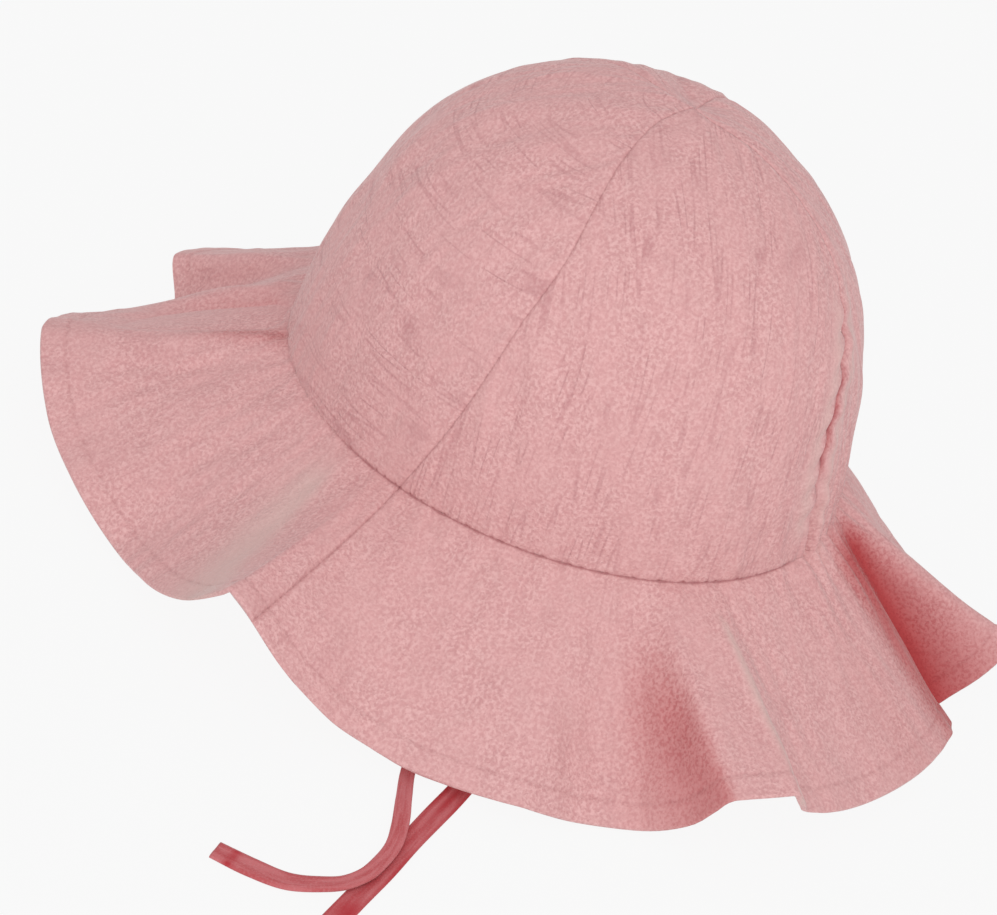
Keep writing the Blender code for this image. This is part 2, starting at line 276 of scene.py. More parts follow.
def seam_ring(azimuth, level=0.0):
    """The ring where crown and brim meet, and the way out from it, before the hat is set down."""
    a = np.radians(azimuth)
    off = signed(np.asarray(azimuth, float) - ELASTIC_AT)
    pull = BACK_FLAT + ELASTIC_PULL * np.maximum(0.0, 1 - np.asarray(level, float) / 0.35) ** 1.5
    drawn = 1 - pull * np.exp(-((off / 42) ** 2))
    half_x, half_y = OPENING_WIDTH / 2, OPENING_LENGTH / 2
    point = np.stack([half_x * np.cos(a) * drawn, half_y * np.sin(a) * drawn], -1)
    out = np.stack([half_y * np.cos(a), half_x * np.sin(a)], -1)
    return point, out / np.linalg.norm(out, axis=-1, keepdims=True)


def settled(points):
    """Leans the hat as it lies on its hem and moves it to its place in the frame."""
    a, lean = math.radians(LEAN_TO), math.radians(LEAN)
    axis = np.array([-math.sin(a), math.cos(a), 0])
    turned = (
        points * math.cos(lean)
        + np.cross(axis, points) * math.sin(lean)
        + axis * (points @ axis)[..., None] * (1 - math.cos(lean))
    )
    return turned + np.array([-MIDDLE_X, -MIDDLE_Y, SEAT_HEIGHT])


def crown_surface(azimuth, level):
    """The smooth crown. level: 0 at the seam, 1 at the top."""
    heights, radii = column(CROWN_LEVELS, 0), column(CROWN_LEVELS, 1)
    painted_pucker_shade = np.concatenate([[0], np.cumsum(np.hypot(np.diff(heights) * 1.2, np.diff(radii)))])
    painted_pucker_shade /= painted_pucker_shade[-1]
    height = eased(level, painted_pucker_shade, heights)
    radius = eased(level, painted_pucker_shade, radii)
    ring, _ = seam_ring(azimuth, level)
    shift = (1 - radius) ** 2
    bulge = 1 + 0.010 * np.sin(math.pi * level) * (0.5 - 0.5 * np.cos(4 * np.radians(azimuth)))
    lean_back = OPENING_LENGTH * eased(level, painted_pucker_shade, column(CROWN_LEVELS, 2))
    x = ring[..., 0] * radius * bulge + APEX_SIDE * shift
    y = ring[..., 1] * radius * bulge + APEX_BACK * shift + lean_back
    points = np.stack([x, y, CROWN_HEIGHT * height + 0 * x], -1)
    inwards = np.array([0, 0, CROWN_HEIGHT / 3]) - points
    inwards /= np.linalg.norm(inwards, axis=-1, keepdims=True)
    for at, middle, width, tall, sink in CROWN_DENTS:
        off = signed(azimuth - at)
        depth = sink * np.exp(-((off / width) ** 2) - ((level - middle) / tall) ** 2)
        points = points + inwards * depth[..., None]
    return settled(points)


def panel_seam(number, level):
    """The azimuth of a seam between two crown panels."""
    return 90.0 * number + eased(level, column(SEAM_DRIFT, 0), column(SEAM_DRIFT, 1 + number % 4))


def brim_surface(azimuth, share):
    """The brim with its large folds. share: 0 at the seam, 1 at the hem."""
    at = column(BRIM_FOLDS, 0)
    turn = eased(azimuth, at, column(BRIM_FOLDS, 1) - at, 360.0)
    slope = np.radians(eased(azimuth, at, column(BRIM_FOLDS, 2), 360.0))
    width = BRIM_WIDTH * eased(azimuth, at, column(BRIM_FOLDS, 3), 360.0)
    root = 0.65 * slope + 0.35 * math.radians(BRIM_SLOPE)
    local = root + (slope - root) * np.maximum(share, 1e-6) ** 0.6
    start, _ = seam_ring(azimuth)
    end, out = seam_ring(azimuth + turn)
    reach, drop = width * share * np.cos(local), width * share * np.sin(local)
    plan = start + (end - start) * share[..., None] + out * reach[..., None]
    return settled(np.concatenate([plan, (-drop)[..., None]], -1))


def grid_normals(points):
    """The unit normals of a grid, turned out of the hat."""
    down, along = np.gradient(points, axis=0), np.gradient(points, axis=1)
    normal = np.cross(along, down)
    size = np.linalg.norm(normal, axis=-1, keepdims=True)
    normal = normal / np.maximum(size, 1e-16)
    thin = size[..., 0] < 1e-11
    normal[thin] = (0, 0, 1)
    middle = np.array([-MIDDLE_X, -MIDDLE_Y, SEAT_HEIGHT - 0.15])
    if (normal * (points - middle)).sum(-1).mean() < 0:
        normal[~thin] *= -1
    return normal


def clustered(count, length, fine, reach):
    """Marks from 0 to 1 along a length, closer together near both ends."""
    s = np.linspace(0, 1, 4001)
    near = np.minimum(s, 1 - s) * length
    density = 1 + fine * np.exp(-near / reach)
    total = np.concatenate([[0], np.cumsum((density[1:] + density[:-1]) / 2)])
    return np.interp(np.linspace(0, total[-1], count + 1), total, s)


def set_uv(mesh, uvs):
    """Gives a mesh its UV. uvs: one pair for each vertex."""
    layer = mesh.uv_layers.new(name="cloth")
    loop_vertex = np.empty(len(mesh.loops), np.int32)
    mesh.loops.foreach_get("vertex_index", loop_vertex)
    layer.data.foreach_set("uv", uvs[loop_vertex].astype(np.float32).reshape(-1))


def set_values(mesh, name, values):
    """Gives each vertex a number that the materials read by this name."""
    attribute = mesh.attributes.new(name, "FLOAT", "POINT")
    attribute.data.foreach_set("value", values.astype(np.float32).reshape(-1))


def cloth_wall(name, outer, inner, uv, thread_and_painted_shade, painted_shade_sheen, edge, material):
    """A closed sheet from two grids, with a rounded edge. uv, the seam marks with their painted shade,
    and the painted fold shade and sheen are on the outer grid.
    """
    rows, columns = outer.shape[:2]
    middle = (outer[-1] + inner[-1]) / 2 + edge
    layers = [outer, middle[None], inner[::-1]]
    points = np.concatenate(layers).reshape(-1, 3)
    uvs = np.concatenate([uv, uv[-1:], uv[::-1]]).reshape(-1, 2)
    total = 2 * rows + 1
    i, j = np.meshgrid(np.arange(total), np.arange(columns - 1), indexing="ij")
    k = (i + 1) % total
    faces = np.stack([i * columns + j, i * columns + j + 1, k * columns + j + 1, k * columns + j], -1)
    faces = faces.reshape(-1, 4)
    caps = []
    for side in (0, columns - 1):
        a = np.arange(rows - 1)
        b = 2 * rows - a
        cap = np.stack([a, a + 1, b - 1, b], -1) * columns + side
        caps.append(cap if side else cap[:, ::-1])
        tip = np.array([rows - 1, rows, rows + 1]) * columns + side
        caps.append((tip if side else tip[::-1])[None])
    mesh = bpy.data.meshes.new(name)
    quads = np.concatenate([faces, caps[0], caps[2]]).tolist()
    mesh.from_pydata(points.tolist(), [], quads + caps[1].tolist() + caps[3].tolist())
    set_uv(mesh, uvs)
    for key, value in (("thread_and_painted_shade", thread_and_painted_shade), ("painted_shade_sheen", painted_shade_sheen)):
        set_values(mesh, key, np.concatenate([value, value[-1:], 0 * value]))
    obj = bpy.data.objects.new(name, mesh)
    bpy.context.scene.collection.objects.link(obj)
    corners = points[faces]
    volume = np.einsum("ij,ij->i", corners[:, 0], np.cross(corners[:, 1], corners[:, 2])).sum()
    if volume < 0:
        mesh.flip_normals()
    mesh.polygons.foreach_set("use_smooth", [True] * len(mesh.polygons))
    mesh.materials.append(material)
    return obj


# Materials

# Colours of the cotton, of the painted shade and painted sheen on its folds, of its seams with the
# painted shade at them, and of the ties
COTTON = (0.685, 0.376, 0.374, 1)
COTTON_MOTTLE = (0.665, 0.372, 0.368, 1)
COTTON_LOW = (0.52, 0.23, 0.24, 1)
COTTON_HIGH = (0.84, 0.53, 0.52, 1)
COTTON_CREASE = (0.42, 0.17, 0.185, 1)
# painted shade down in the folds, and painted sheen on their pale bands
PAINTED_SHADE_RED = (0.44, 0.062, 0.065, 1)
PAINTED_SHADE_RED_LOW = (0.36, 0.045, 0.05, 1)
PAINTED_SHEEN_PALE = (0.65, 0.46, 0.43, 1)
SEAM_THREAD_AND_PAINTED_SHADE = (0.27, 0.05, 0.06, 1)
TIE_LIGHT = (0.55, 0.155, 0.165, 1)
TIE_DARK = (0.46, 0.080, 0.088, 1)
TIE_WEAVE = (0.62, 0.26, 0.27, 1)
# the ties' stitch thread, and their painted shade and painted shadow
TIE_STITCH_AND_PAINTED_SHADE = (0.42, 0.02, 0.03, 1)


class Nodes:
    """A short way to add and join shader nodes."""

    def __init__(self, material):
        material.use_nodes = True
        self.tree = material.node_tree
        self.shader = self.tree.nodes["Principled BSDF"]

    def add(self, kind, settings=None, **inputs):
        node = self.tree.nodes.new(kind)
        for key, value in (settings or {}).items():
            setattr(node, key, value)
        for key, value in inputs.items():
            self.put(node, key.replace("_", " "), value)
        return node

    def put(self, node, socket, value):
        numbered = socket[0] == "n" and socket[1:].isdigit()
        target = node.inputs[int(socket[1:])] if numbered else node.inputs[socket]
        if isinstance(value, bpy.types.NodeSocket):
            self.tree.links.new(value, target)
        else:
            target.default_value = value

    def math(self, operation, a, b=0.0, c=0.0):
        node = self.add("ShaderNodeMath", {"operation": operation})
        for index, value in enumerate((a, b, c)):
            if index < len(node.inputs):
                self.put(node, "n%d" % index, value)
        return node.outputs[0]

    def noise(self, vector, scale, detail=2.0, rough=0.5, distortion=0.0):
        node = self.add("ShaderNodeTexNoise", Vector=vector, Scale=scale, Detail=detail)
        node.inputs["Roughness"].default_value = rough
        node.inputs["Distortion"].default_value = distortion
        return node.outputs[0]

    def ramp(self, value, low, high):
        node = self.add("ShaderNodeMapRange", {"clamp": True, "interpolation_type": "SMOOTHSTEP"})
        self.put(node, "Value", value)
        node.inputs["From Min"].default_value = low
        node.inputs["From Max"].default_value = high
        return node.outputs[0]

    def mix(self, factor, a, b):
        node = self.add("ShaderNodeMix", {"data_type": "RGBA"})
        self.put(node, "Factor", factor)
        self.put(node, "n6", a)
        self.put(node, "n7", b)
        return node.outputs[2]

    def stretched(self, vector, x, y):
        return self.add("ShaderNodeMapping", Vector=vector, Scale=(x, y, 1)).outputs[0]


def cotton_material(name):
    """Crinkled cotton. Its UV is in centimetres along the cloth."""
    material = bpy.data.materials.new(name)
    n = Nodes(material)
    uv = n.add("ShaderNodeUVMap", {"uv_map": "cloth"}).outputs[0]
    thread_and_painted_shade = n.add("ShaderNodeAttribute", {"attribute_name": "thread_and_painted_shade"}).outputs["Fac"]
    # the folds' painted shade (above 0) and painted sheen (below 0)
    shade = n.add("ShaderNodeAttribute", {"attribute_name": "painted_shade_sheen"}).outputs["Fac"]
    painted_shade_sheen = n.math("MAXIMUM", shade, 0.0)
    painted_sheen = n.math("MAXIMUM", n.math("MULTIPLY", shade, -1.0), 0.0)
    place = n.add("ShaderNodeTexCoord").outputs["Object"]
    # crepe: a fine bubbly grain, stronger in patches
    crepe = n.noise(place, 1060.0, 1.5, 0.6, 0.3)
    patches = n.ramp(n.noise(n.stretched(uv, 1.0, 0.5), 0.8, 1.0), 0.32, 0.66)
    strength = n.math("MULTIPLY_ADD", patches, 0.35, 0.65)
    # thin straight creases along the cloth, broken up
    lines = n.noise(n.stretched(uv, 1.0, 0.06), 3.8, 0.0)
    crease = n.ramp(n.math("ABSOLUTE", n.math("SUBTRACT", lines, 0.5)), 0.080, 0.0)
    broken = n.ramp(n.noise(n.stretched(uv, 1.0, 0.45), 1.5, 1.0), 0.44, 0.58)
    crease = n.math("MULTIPLY", crease, n.math("MULTIPLY", broken, strength))
    up = n.add("ShaderNodeSeparateXYZ", Vector=uv).outputs["Y"]
    on_brim = n.ramp(up, BRIM_UV - 4.0, BRIM_UV - 2.0)
    crease = n.math("MULTIPLY", crease, n.math("MULTIPLY_ADD", on_brim, -0.6, 1.0))
    # colour
    mottle = n.ramp(n.noise(uv, 1.6, 3.0, 0.6), 0.35, 0.68)
    color = n.mix(mottle, COTTON, COTTON_MOTTLE)
    low = n.math("MULTIPLY", n.ramp(crepe, 0.52, 0.35), strength)
    color = n.mix(n.math("MULTIPLY", low, 0.42), color, COTTON_LOW)
    high = n.math("MULTIPLY", n.ramp(crepe, 0.50, 0.66), strength)
    color = n.mix(n.math("MULTIPLY", high, 0.45), color, COTTON_HIGH)
    color = n.mix(n.math("MULTIPLY", crease, 0.36), color, COTTON_CREASE)
    # paint the shade down in the folds and the sheen on their pale bands
    color = n.mix(painted_shade_sheen, color, PAINTED_SHADE_RED)
    color = n.mix(painted_sheen, color, PAINTED_SHEEN_PALE)
    color = n.mix(n.math("MULTIPLY", n.math("MULTIPLY", low, painted_shade_sheen), 0.5), color, PAINTED_SHADE_RED_LOW)
    # seam thread, and painted shade in the seam's gap, in the creases and in the puckers
    color = n.mix(thread_and_painted_shade, color, SEAM_THREAD_AND_PAINTED_SHADE)
    n.put(n.shader, "Base Color", color)
    n.shader.inputs["Roughness"].default_value = 0.95
    n.shader.inputs["Specular IOR Level"].default_value = 0.08
    n.shader.inputs["Sheen Weight"].default_value = 0.39
    n.shader.inputs["Sheen Roughness"].default_value = 0.32
    n.shader.inputs["Sheen Tint"].default_value = (0.75, 0.80, 0.78, 1)
    height = n.math("MULTIPLY", n.math("MULTIPLY", crepe, strength), 0.00042)
    height = n.math("SUBTRACT", height, n.math("MULTIPLY", crease, 0.00010))
    bump = n.add("ShaderNodeBump", Height=height)
    bump.inputs["Distance"].default_value = 1.0
    bump.inputs["Strength"].default_value = 0.9
    n.put(n.shader, "Normal", bump.outputs[0])
    return material


def tie_material(name):
    """Folded cotton with streaks along it. Its UV is in centimetres."""
    material = bpy.data.materials.new(name)
    n = Nodes(material)
    uv = n.add("ShaderNodeUVMap", {"uv_map": "cloth"}).outputs[0]
    thread_and_painted_shade = n.add("ShaderNodeAttribute", {"attribute_name": "thread_and_painted_shade"}).outputs["Fac"]
    streak = n.noise(n.stretched(uv, 1.0, 0.12), 6.0, 3.0, 0.6)
    weave = n.noise(uv, 16.0, 2.0, 0.6)
    color = n.mix(n.ramp(streak, 0.35, 0.68), TIE_LIGHT, TIE_DARK)
    color = n.mix(n.math("MULTIPLY", n.ramp(weave, 0.45, 0.7), 0.3), color, TIE_WEAVE)
    # the stitched end's thread, and painted shade: red strips and a shadow where the ties cross
    color = n.mix(thread_and_painted_shade, color, TIE_STITCH_AND_PAINTED_SHADE)
    n.put(n.shader, "Base Color", color)
    n.shader.inputs["Roughness"].default_value = 0.85
    n.shader.inputs["Specular IOR Level"].default_value = 0.2
    n.shader.inputs["Sheen Weight"].default_value = 0.12
    n.shader.inputs["Sheen Roughness"].default_value = 0.5
    height = n.math("MULTIPLY_ADD", streak, 0.0003, n.math("MULTIPLY", weave, 0.00012))
    bump = n.add("ShaderNodeBump", Height=height)
    bump.inputs["Distance"].default_value = 1.0
    n.put(n.shader, "Normal", bump.outputs[0])
    return material


cotton = cotton_material("crinkled_cotton")
rose = tie_material("folded_tie_cotton")

# Ties


def smooth_route(rows, count):
    """A tie's middle line in even steps, kept off the floor, and its twist at each step."""
    knots = np.array(rows, float)
    places = np.concatenate([[0], np.cumsum(np.linalg.norm(np.diff(knots[:, :3], axis=0), axis=1))])
    slopes = np.gradient(knots, places, axis=0)
    fine = np.linspace(0, places[-1], 2001)
    i = np.clip(np.searchsorted(places, fine, side="right") - 1, 0, len(places) - 2)
    h = (places[i + 1] - places[i])[:, None]
    t = (fine - places[i])[:, None] / h
    line = hermite(t, h, knots[i], slopes[i], knots[i + 1], slopes[i + 1])
    run = np.concatenate([[0], np.cumsum(np.linalg.norm(np.diff(line[:, :3], axis=0), axis=1))])
    painted_pucker_shade = np.linspace(0, run[-1], count + 1)
    line = np.stack([np.interp(painted_pucker_shade, run, line[:, k]) for k in range(4)], -1)
    points, twist = line[:, :3] / 1000, np.radians(line[:, 3])
    lowest = TIE_THICK / 2 + 0.0001 + TIE_WIDTH / 2 * np.abs(np.sin(twist))
    points[:, 2] = np.maximum(points[:, 2], lowest)
    return points - np.array([MIDDLE_X, MIDDLE_Y, 0]), twist


def ribbon_frames(line, twist):
    """The ways across a tie and out of its face, at each step of its line."""
    forward = np.gradient(line, axis=0)
    forward /= np.linalg.norm(forward, axis=1, keepdims=True)
    inwards = np.array([-np.sign(line[0, 0]), 0.0, 0.0])
    high = np.clip(line[:, 2:] / 0.04, 0, 1)
    face = inwards * high + np.array([0, 0, 1.0]) * (1 - high)
    face = face - forward * (face * forward).sum(axis=1, keepdims=True)
    face /= np.linalg.norm(face, axis=1, keepdims=True)
    across = np.cross(face, forward)
    turn = twist[:, None]
    side = across * np.cos(turn) + face * np.sin(turn)
    return side, np.cross(forward, side)


def add_tie(name, rows, node, painted_shade_strips, rolls, painted_shadow_x):
    """A folded strip: round edges, a soft hollow along its middle, a stitched end, and painted shade:
    red strips and a shadow where the ties cross.
    """
    steps, around = 420, 20
    line, twist = smooth_route(rows, steps)
    sides, faces = ribbon_frames(line, twist)
    length = float(np.linalg.norm(np.diff(line, axis=0), axis=1).sum())
    run = np.linspace(0, length, steps + 1)
    a = np.linspace(0, 2 * math.pi, around, endpoint=False)
    wide = TIE_WIDTH / 2 * np.sign(np.cos(a)) * np.abs(np.cos(a)) ** 0.75
    high = TIE_THICK / 2 * np.sign(np.sin(a)) * np.abs(np.sin(a)) ** 0.55
    hollow = 1 - 0.30 * bell(wide / (TIE_WIDTH / 2), 0.45)
    sway = 1 + 0.03 * np.sin(run / 0.011 + 1.0) + 0.03 * np.sin(run / 0.0047)
    lift = 1 + 0.10 * np.sin(run / 0.008) + 0.06 * np.sin(run / 0.0029 + 2)
    # its edges roll in between the brim and the bend
    rolled = rolls * smooth_step(line[:, 0], 0.096, 0.108) * (1 - smooth_step(line[:, 0], 0.152, 0.170))
    sway = sway * (1 - 0.34 * rolled)
    inwards = 0.0010 * rolled * np.sign(rolled @ sides @ np.array([0.62, -0.74, 0.0]))
    points = (
        line[:, None]
        + sides[:, None] * (wide[None, :] * sway[:, None] + inwards[:, None])[..., None]
        + faces[:, None] * (high * hollow)[None, :, None] * np.minimum(lift, 1.05)[:, None, None]
    )
    u = np.broadcast_to(wide * 100, (steps + 1, around))
    v = np.broadcast_to(run[:, None] * 100, (steps + 1, around))
    near_end = length - run
    # the stitched end, a painted shadow where the ties cross, and red strips of painted shade
    thread_and_painted_shade = 0.95 * bell(near_end - 0.0050, 0.0013)[:, None]
    thread_and_painted_shade = thread_and_painted_shade * (0.7 + 0.3 * np.sin(wide * 2600 + 0.5)) + 0 * u
    strips = 0.55 + 0.45 * np.sin(wide * 2100 + 0.8)
    # a painted shadow where the ties cross
    painted_shadow = 0.9 * bell(line[:, 0] - painted_shadow_x, 0.006)[:, None] * (0.6 + 0.4 * np.cos(wide * 700 - 1))
    thread_and_painted_shade = np.maximum(thread_and_painted_shade, painted_shadow)
    # red strips of painted shade, strongest on the far tie
    thread_and_painted_shade = np.maximum(thread_and_painted_shade, painted_shade_strips * strips * (0.75 + 0.25 * np.sin(run / 0.006))[:, None])
    points = np.concatenate([points[:1] * 0 + line[0], points, points[:1] * 0 + line[-1]])
    wrap = lambda grid: np.concatenate([grid[:1], grid, grid[-1:]])
    u, v, thread_and_painted_shade = wrap(u), wrap(v), wrap(np.clip(thread_and_painted_shade, 0, 1))
    mesh = bpy.data.meshes.new(name)
    rings = steps + 3
    i, j = np.meshgrid(np.arange(rings - 1), np.arange(around), indexing="ij")
    k = (j + 1) % around
    quads = np.stack([i * around + j, i * around + k, (i + 1) * around + k, (i + 1) * around + j], -1)
    mesh.from_pydata(points.reshape(-1, 3).tolist(), [], quads.reshape(-1, 4).tolist())
    set_uv(mesh, np.stack([u, v], -1).reshape(-1, 2))
    set_values(mesh, "thread_and_painted_shade", thread_and_painted_shade)
    work = bmesh.new()
    work.from_mesh(mesh)
    bmesh.ops.remove_doubles(work, verts=work.verts, dist=1e-7)
    bmesh.ops.recalc_face_normals(work, faces=work.faces)
    work.to_mesh(mesh)
    work.free()
    mesh.polygons.foreach_set("use_smooth", [True] * len(mesh.polygons))
    mesh.materials.append(rose)
    obj = bpy.data.objects.new(name, mesh)
    bpy.context.scene.collection.objects.link(obj)
    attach(obj, "root")
    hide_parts(node)
    return obj


# the first: how far its red strips of painted shade show. rolls: 1 where its edges roll in. the last:
# the x of a painted shadow where the ties cross
add_tie("tie_left_folded", TIE_LEFT_ROUTE, "tie_left", painted_shade_strips=0.03, rolls=1.0, painted_shadow_x=-1.0)
add_tie("tie_right_folded", TIE_RIGHT_ROUTE, "tie_right", painted_shade_strips=0.90, rolls=0.0, painted_shadow_x=0.163)

# Crown

CROWN_RISE = 0.140  # from the seam to the top along the cloth
GATHER_FROM, GATHER_TO = 82.0, 176.0  # the elastic runs between these azimuths


def gathered(azimuth):
    """1 where the elastic draws the seam in, 0 elsewhere."""
    off = signed(azimuth)
    begun = smooth_step(off, GATHER_FROM, GATHER_FROM + 8)
    return begun * (1 - smooth_step(off, GATHER_TO - 8, GATHER_TO))


def seam_shown(azimuth, elastic):
    """How far the dark line between crown and brim shows, a painted shade in the gap: faint in front,
    not at all at the elastic.
    """
    return (1 - elastic) * (0.18 + 0.82 * smooth_step(signed(azimuth), -26, -6))


def tucks(azimuth, out):
    """The small folds that the elastic makes on both sides of the seam."""
    u = np.radians(azimuth) * SEAM_RADIUS
    return ripples(u, out * 0.3, 13, (0.0055, 0.0095), (0.05, 0.12), 6)


def crown_height(number, azimuth, level, across, to_left, to_right):
    """How far the cloth stands out of the smooth crown, how dark its seams are with the painted shade
    at them, and the painted shade and sheen at the gathered seam.
    """
    v = level * CROWN_RISE
    soft = 0.00024 * ripples(across, v, 11 + 10 * number, (0.012, 0.030), (0.03, 0.09))
    soft = soft + 0.00008 * ripples(across, v, 12 + 10 * number, (0.004, 0.009), (0.02, 0.05))
    near = np.minimum(to_left, to_right)
    pull = 0.75 + 0.25 * np.sin(v / 0.0011 + 2 * np.sin(v / 0.004))
    ditch = -0.00042 * bell(near, 0.00055) * pull + 0.00012 * bell(near - 0.0022, 0.0014)
    elastic = gathered(azimuth)
    base = -0.00022 * bell(v, 0.0006) * (1 - elastic)
    tuck = tucks(azimuth, v) * (0.00010 * bell(v, 0.006) + 0.00080 * elastic * bell(v, 0.022))
    ends = smooth_step(v, 0.0, 0.004) * smooth_step(near, 0.0, 0.003)
    thread_and_painted_shade = 0.42 * bell(near, 0.00024) * smooth_step(v, 0.0, 0.002) * (0.7 + 0.3 * np.sin(v / 0.00045))
    plain = seam_shown(azimuth, elastic)
    # the dark line where crown meets brim is painted shade in the gap; the stitch dots are thread
    line = 0.62 * bell(v, 0.00026) * plain
    dots = np.cos(np.radians(azimuth) * SEAM_RADIUS / 0.00056) > 0.88
    stitch = 0.80 * bell(v - 0.0002, 0.00050) * plain * dots
    painted_shade_sheen = 0 * thread_and_painted_shade
    # the gathered seam behind: a deep crease with small puckers, painted shade in them and a painted
    # pale highlight beside it
    if number in (0, 1):
        back = to_right if number == 0 else to_left
        reach = smooth_step(v, 0.004, 0.012) * (1 - smooth_step(v, 0.062, 0.078))
        wave = 0.6 + 0.4 * np.sin(v / 0.0016 + 1.5 * np.sin(v / 0.005))
        ditch = ditch - 0.0011 * bell(back, 0.0016) * reach * wave
        ridge = 0.0005 * bell(back - 0.0042, 0.0022) * reach
        ditch = ditch + ridge * (0.75 + 0.25 * np.sin(v / 0.0021))
        ditch = ditch + 0.00045 * bell(back - 0.0030, 0.0040) * reach * np.sin(v / 0.0013 + 260 * back)
        # painted shade in the puckers and along the crease, and a painted pale highlight beside it
        painted_pucker_shade = smooth_step(v, 0.024, 0.030) * (1 - smooth_step(v, 0.046, 0.056))
        thread_and_painted_shade = np.maximum(thread_and_painted_shade, 0.70 * bell(back, 0.0009) * painted_pucker_shade * (0.5 + 0.5 * np.sin(v / 0.0015)))
        thread_and_painted_shade = np.maximum(thread_and_painted_shade, 0.14 * bell(back, 0.0006) * reach)
        painted_shade_sheen = 0.55 * bell(back, 0.0026) * (0.35 + 0.65 * painted_pucker_shade) * reach
        painted_shade_sheen = painted_shade_sheen - 0.50 * bell(back - 0.0050, 0.0028) * reach
    thread_and_painted_shade = np.clip(np.maximum(np.maximum(thread_and_painted_shade, line), stitch), 0, 1)
    return soft * ends + ditch + base + tuck, thread_and_painted_shade, painted_shade_sheen


def add_crown_panel(name, number, node):
    columns, rows = 150, 150
    s = clustered(columns, 0.12, fine=3.0, reach=0.004)[None, :]
    level = clustered(rows, CROWN_RISE, fine=2.0, reach=0.003)[:, None]
    low, high = panel_seam(number, level), panel_seam(number + 1, level)
    azimuth = low + (high - low) * s
    level = level + 0 * azimuth
    base = crown_surface(azimuth, level)
    step = np.linalg.norm(np.diff(base, axis=1), axis=-1)
    run = np.concatenate([np.zeros((rows + 1, 1)), np.cumsum(step, axis=1)], axis=1)
    middle = 45.0 + 90.0 * number
    middle = middle + 0.35 * (azimuth[:, :1] / 2 + azimuth[:, -1:] / 2 - middle)
    at = np.clip((middle - azimuth[:, :1]) / (azimuth[:, -1:] - azimuth[:, :1]), 0, 1)
    across = run - np.array([np.interp(m, s[0], r) for m, r in zip(at[:, 0], run)])[:, None]
    normal = grid_normals(base)
    normal[-1] = (0, 0, 1)
    height, thread_and_painted_shade, painted_shade_sheen = crown_height(number, azimuth, level, across, run, run[:, -1:] - run)
    outer = base + normal * height[..., None]
    inner = base - normal * CLOTH
    outer[-1], inner[-1] = outer[-1].mean(0), inner[-1].mean(0)
    uv = np.stack([across * 100 + 20 * number, level * CROWN_RISE * 100], -1)
    if number == 3:  # this panel's creases run across it
        uv = uv[..., ::-1] + np.array([60.0, -40.0])
    flip = slice(None, None, -1)
    grids = [grid[flip] for grid in (outer, inner, uv, thread_and_painted_shade, painted_shade_sheen)]
    obj = cloth_wall(name, *grids, np.zeros(3), cotton)
    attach(obj, "root")
    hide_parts(node)
    return obj


add_crown_panel("crown_cloth_back_left", 0, "crown_panel_back_left")
add_crown_panel("crown_cloth_back_right", 1, "crown_panel_back_right")
add_crown_panel("crown_cloth_front_right", 2, "crown_panel_front_right")
add_crown_panel("crown_cloth_front_left", 3, "crown_panel_front_left")

# Brim


# Small folds on top of the large ones
BRIM_EXTRAS = [
    # crown_azimuth, hem_azimuth, width, height, from_share, to_share
    (-72.0, -66.0, 3.5, 0.0030, 0.05, 0.75),
    (-61.0, -60.0, 5.0, -0.0048, 0.02, 0.66),
    (-50.0, -55.0, 3.5, 0.0020, 0.03, 0.62),
    (61.5, 64.6, 1.1, 0.0007, 0.12, 1.20),
]
# Painted shade and sheen on the folds: a warm red painted shade down in a fold, or a pale painted sheen
# where the strength is below 0
PAINTED_FOLD_SHADE_SHEEN = [
    # crown_azimuth, hem_azimuth, width_left, width_right, strength, from_share, full_share, end_share
    (48.4, 51.8, 3.4, 1.7, 0.50, 0.12, 0.62, 1.4),
    (109.0, 108.6, 14.0, 3.3, 1.00, -0.03, 0.20, 1.6),
    (-62.5, -61.5, 5.0, 3.5, 0.30, 0.02, 0.12, 0.70),
    (-50.0, -64.0, 3.0, 2.5, 0.34, -0.03, 0.02, 0.60),
    (-13.0, -7.0, 4.5, 1.8, -0.70, 0.02, 0.25, 1.5),
    (61.8, 64.8, 0.9, 0.7, -0.75, 0.10, 0.25, 1.5),
    (95.0, 96.0, 5.0, 3.0, -0.30, -0.03, 0.02, 1.5),
]


def brim_folds(azimuth, share):
    """Small folds, and the painted shade and painted sheen on the large ones."""
    height, shade = 0.0, 0.0
    for at, end, width, tall, first, last in BRIM_EXTRAS:
        reach = smooth_step(share, first - 0.04, first + 0.10)
        reach = reach * (1 - smooth_step(share, last - 0.25, last + 0.15))
        off = signed(azimuth - at - (end - at) * share)
        height = height + tall * bell(off, width) * reach
    # a painted shade or a painted sheen along each of these folds
    for at, end, left, right, strength, first, full, last in PAINTED_FOLD_SHADE_SHEEN:
        off = signed(azimuth - at - (end - at) * share)
        reach = smooth_step(share, first, full) * (1 - smooth_step(share, last - 0.4, last))
        spread = strength * bell(off, np.where(off < 0, left, right)) * reach
        shade = np.maximum(shade, spread) if strength > 0 else shade + spread
    return height, shade


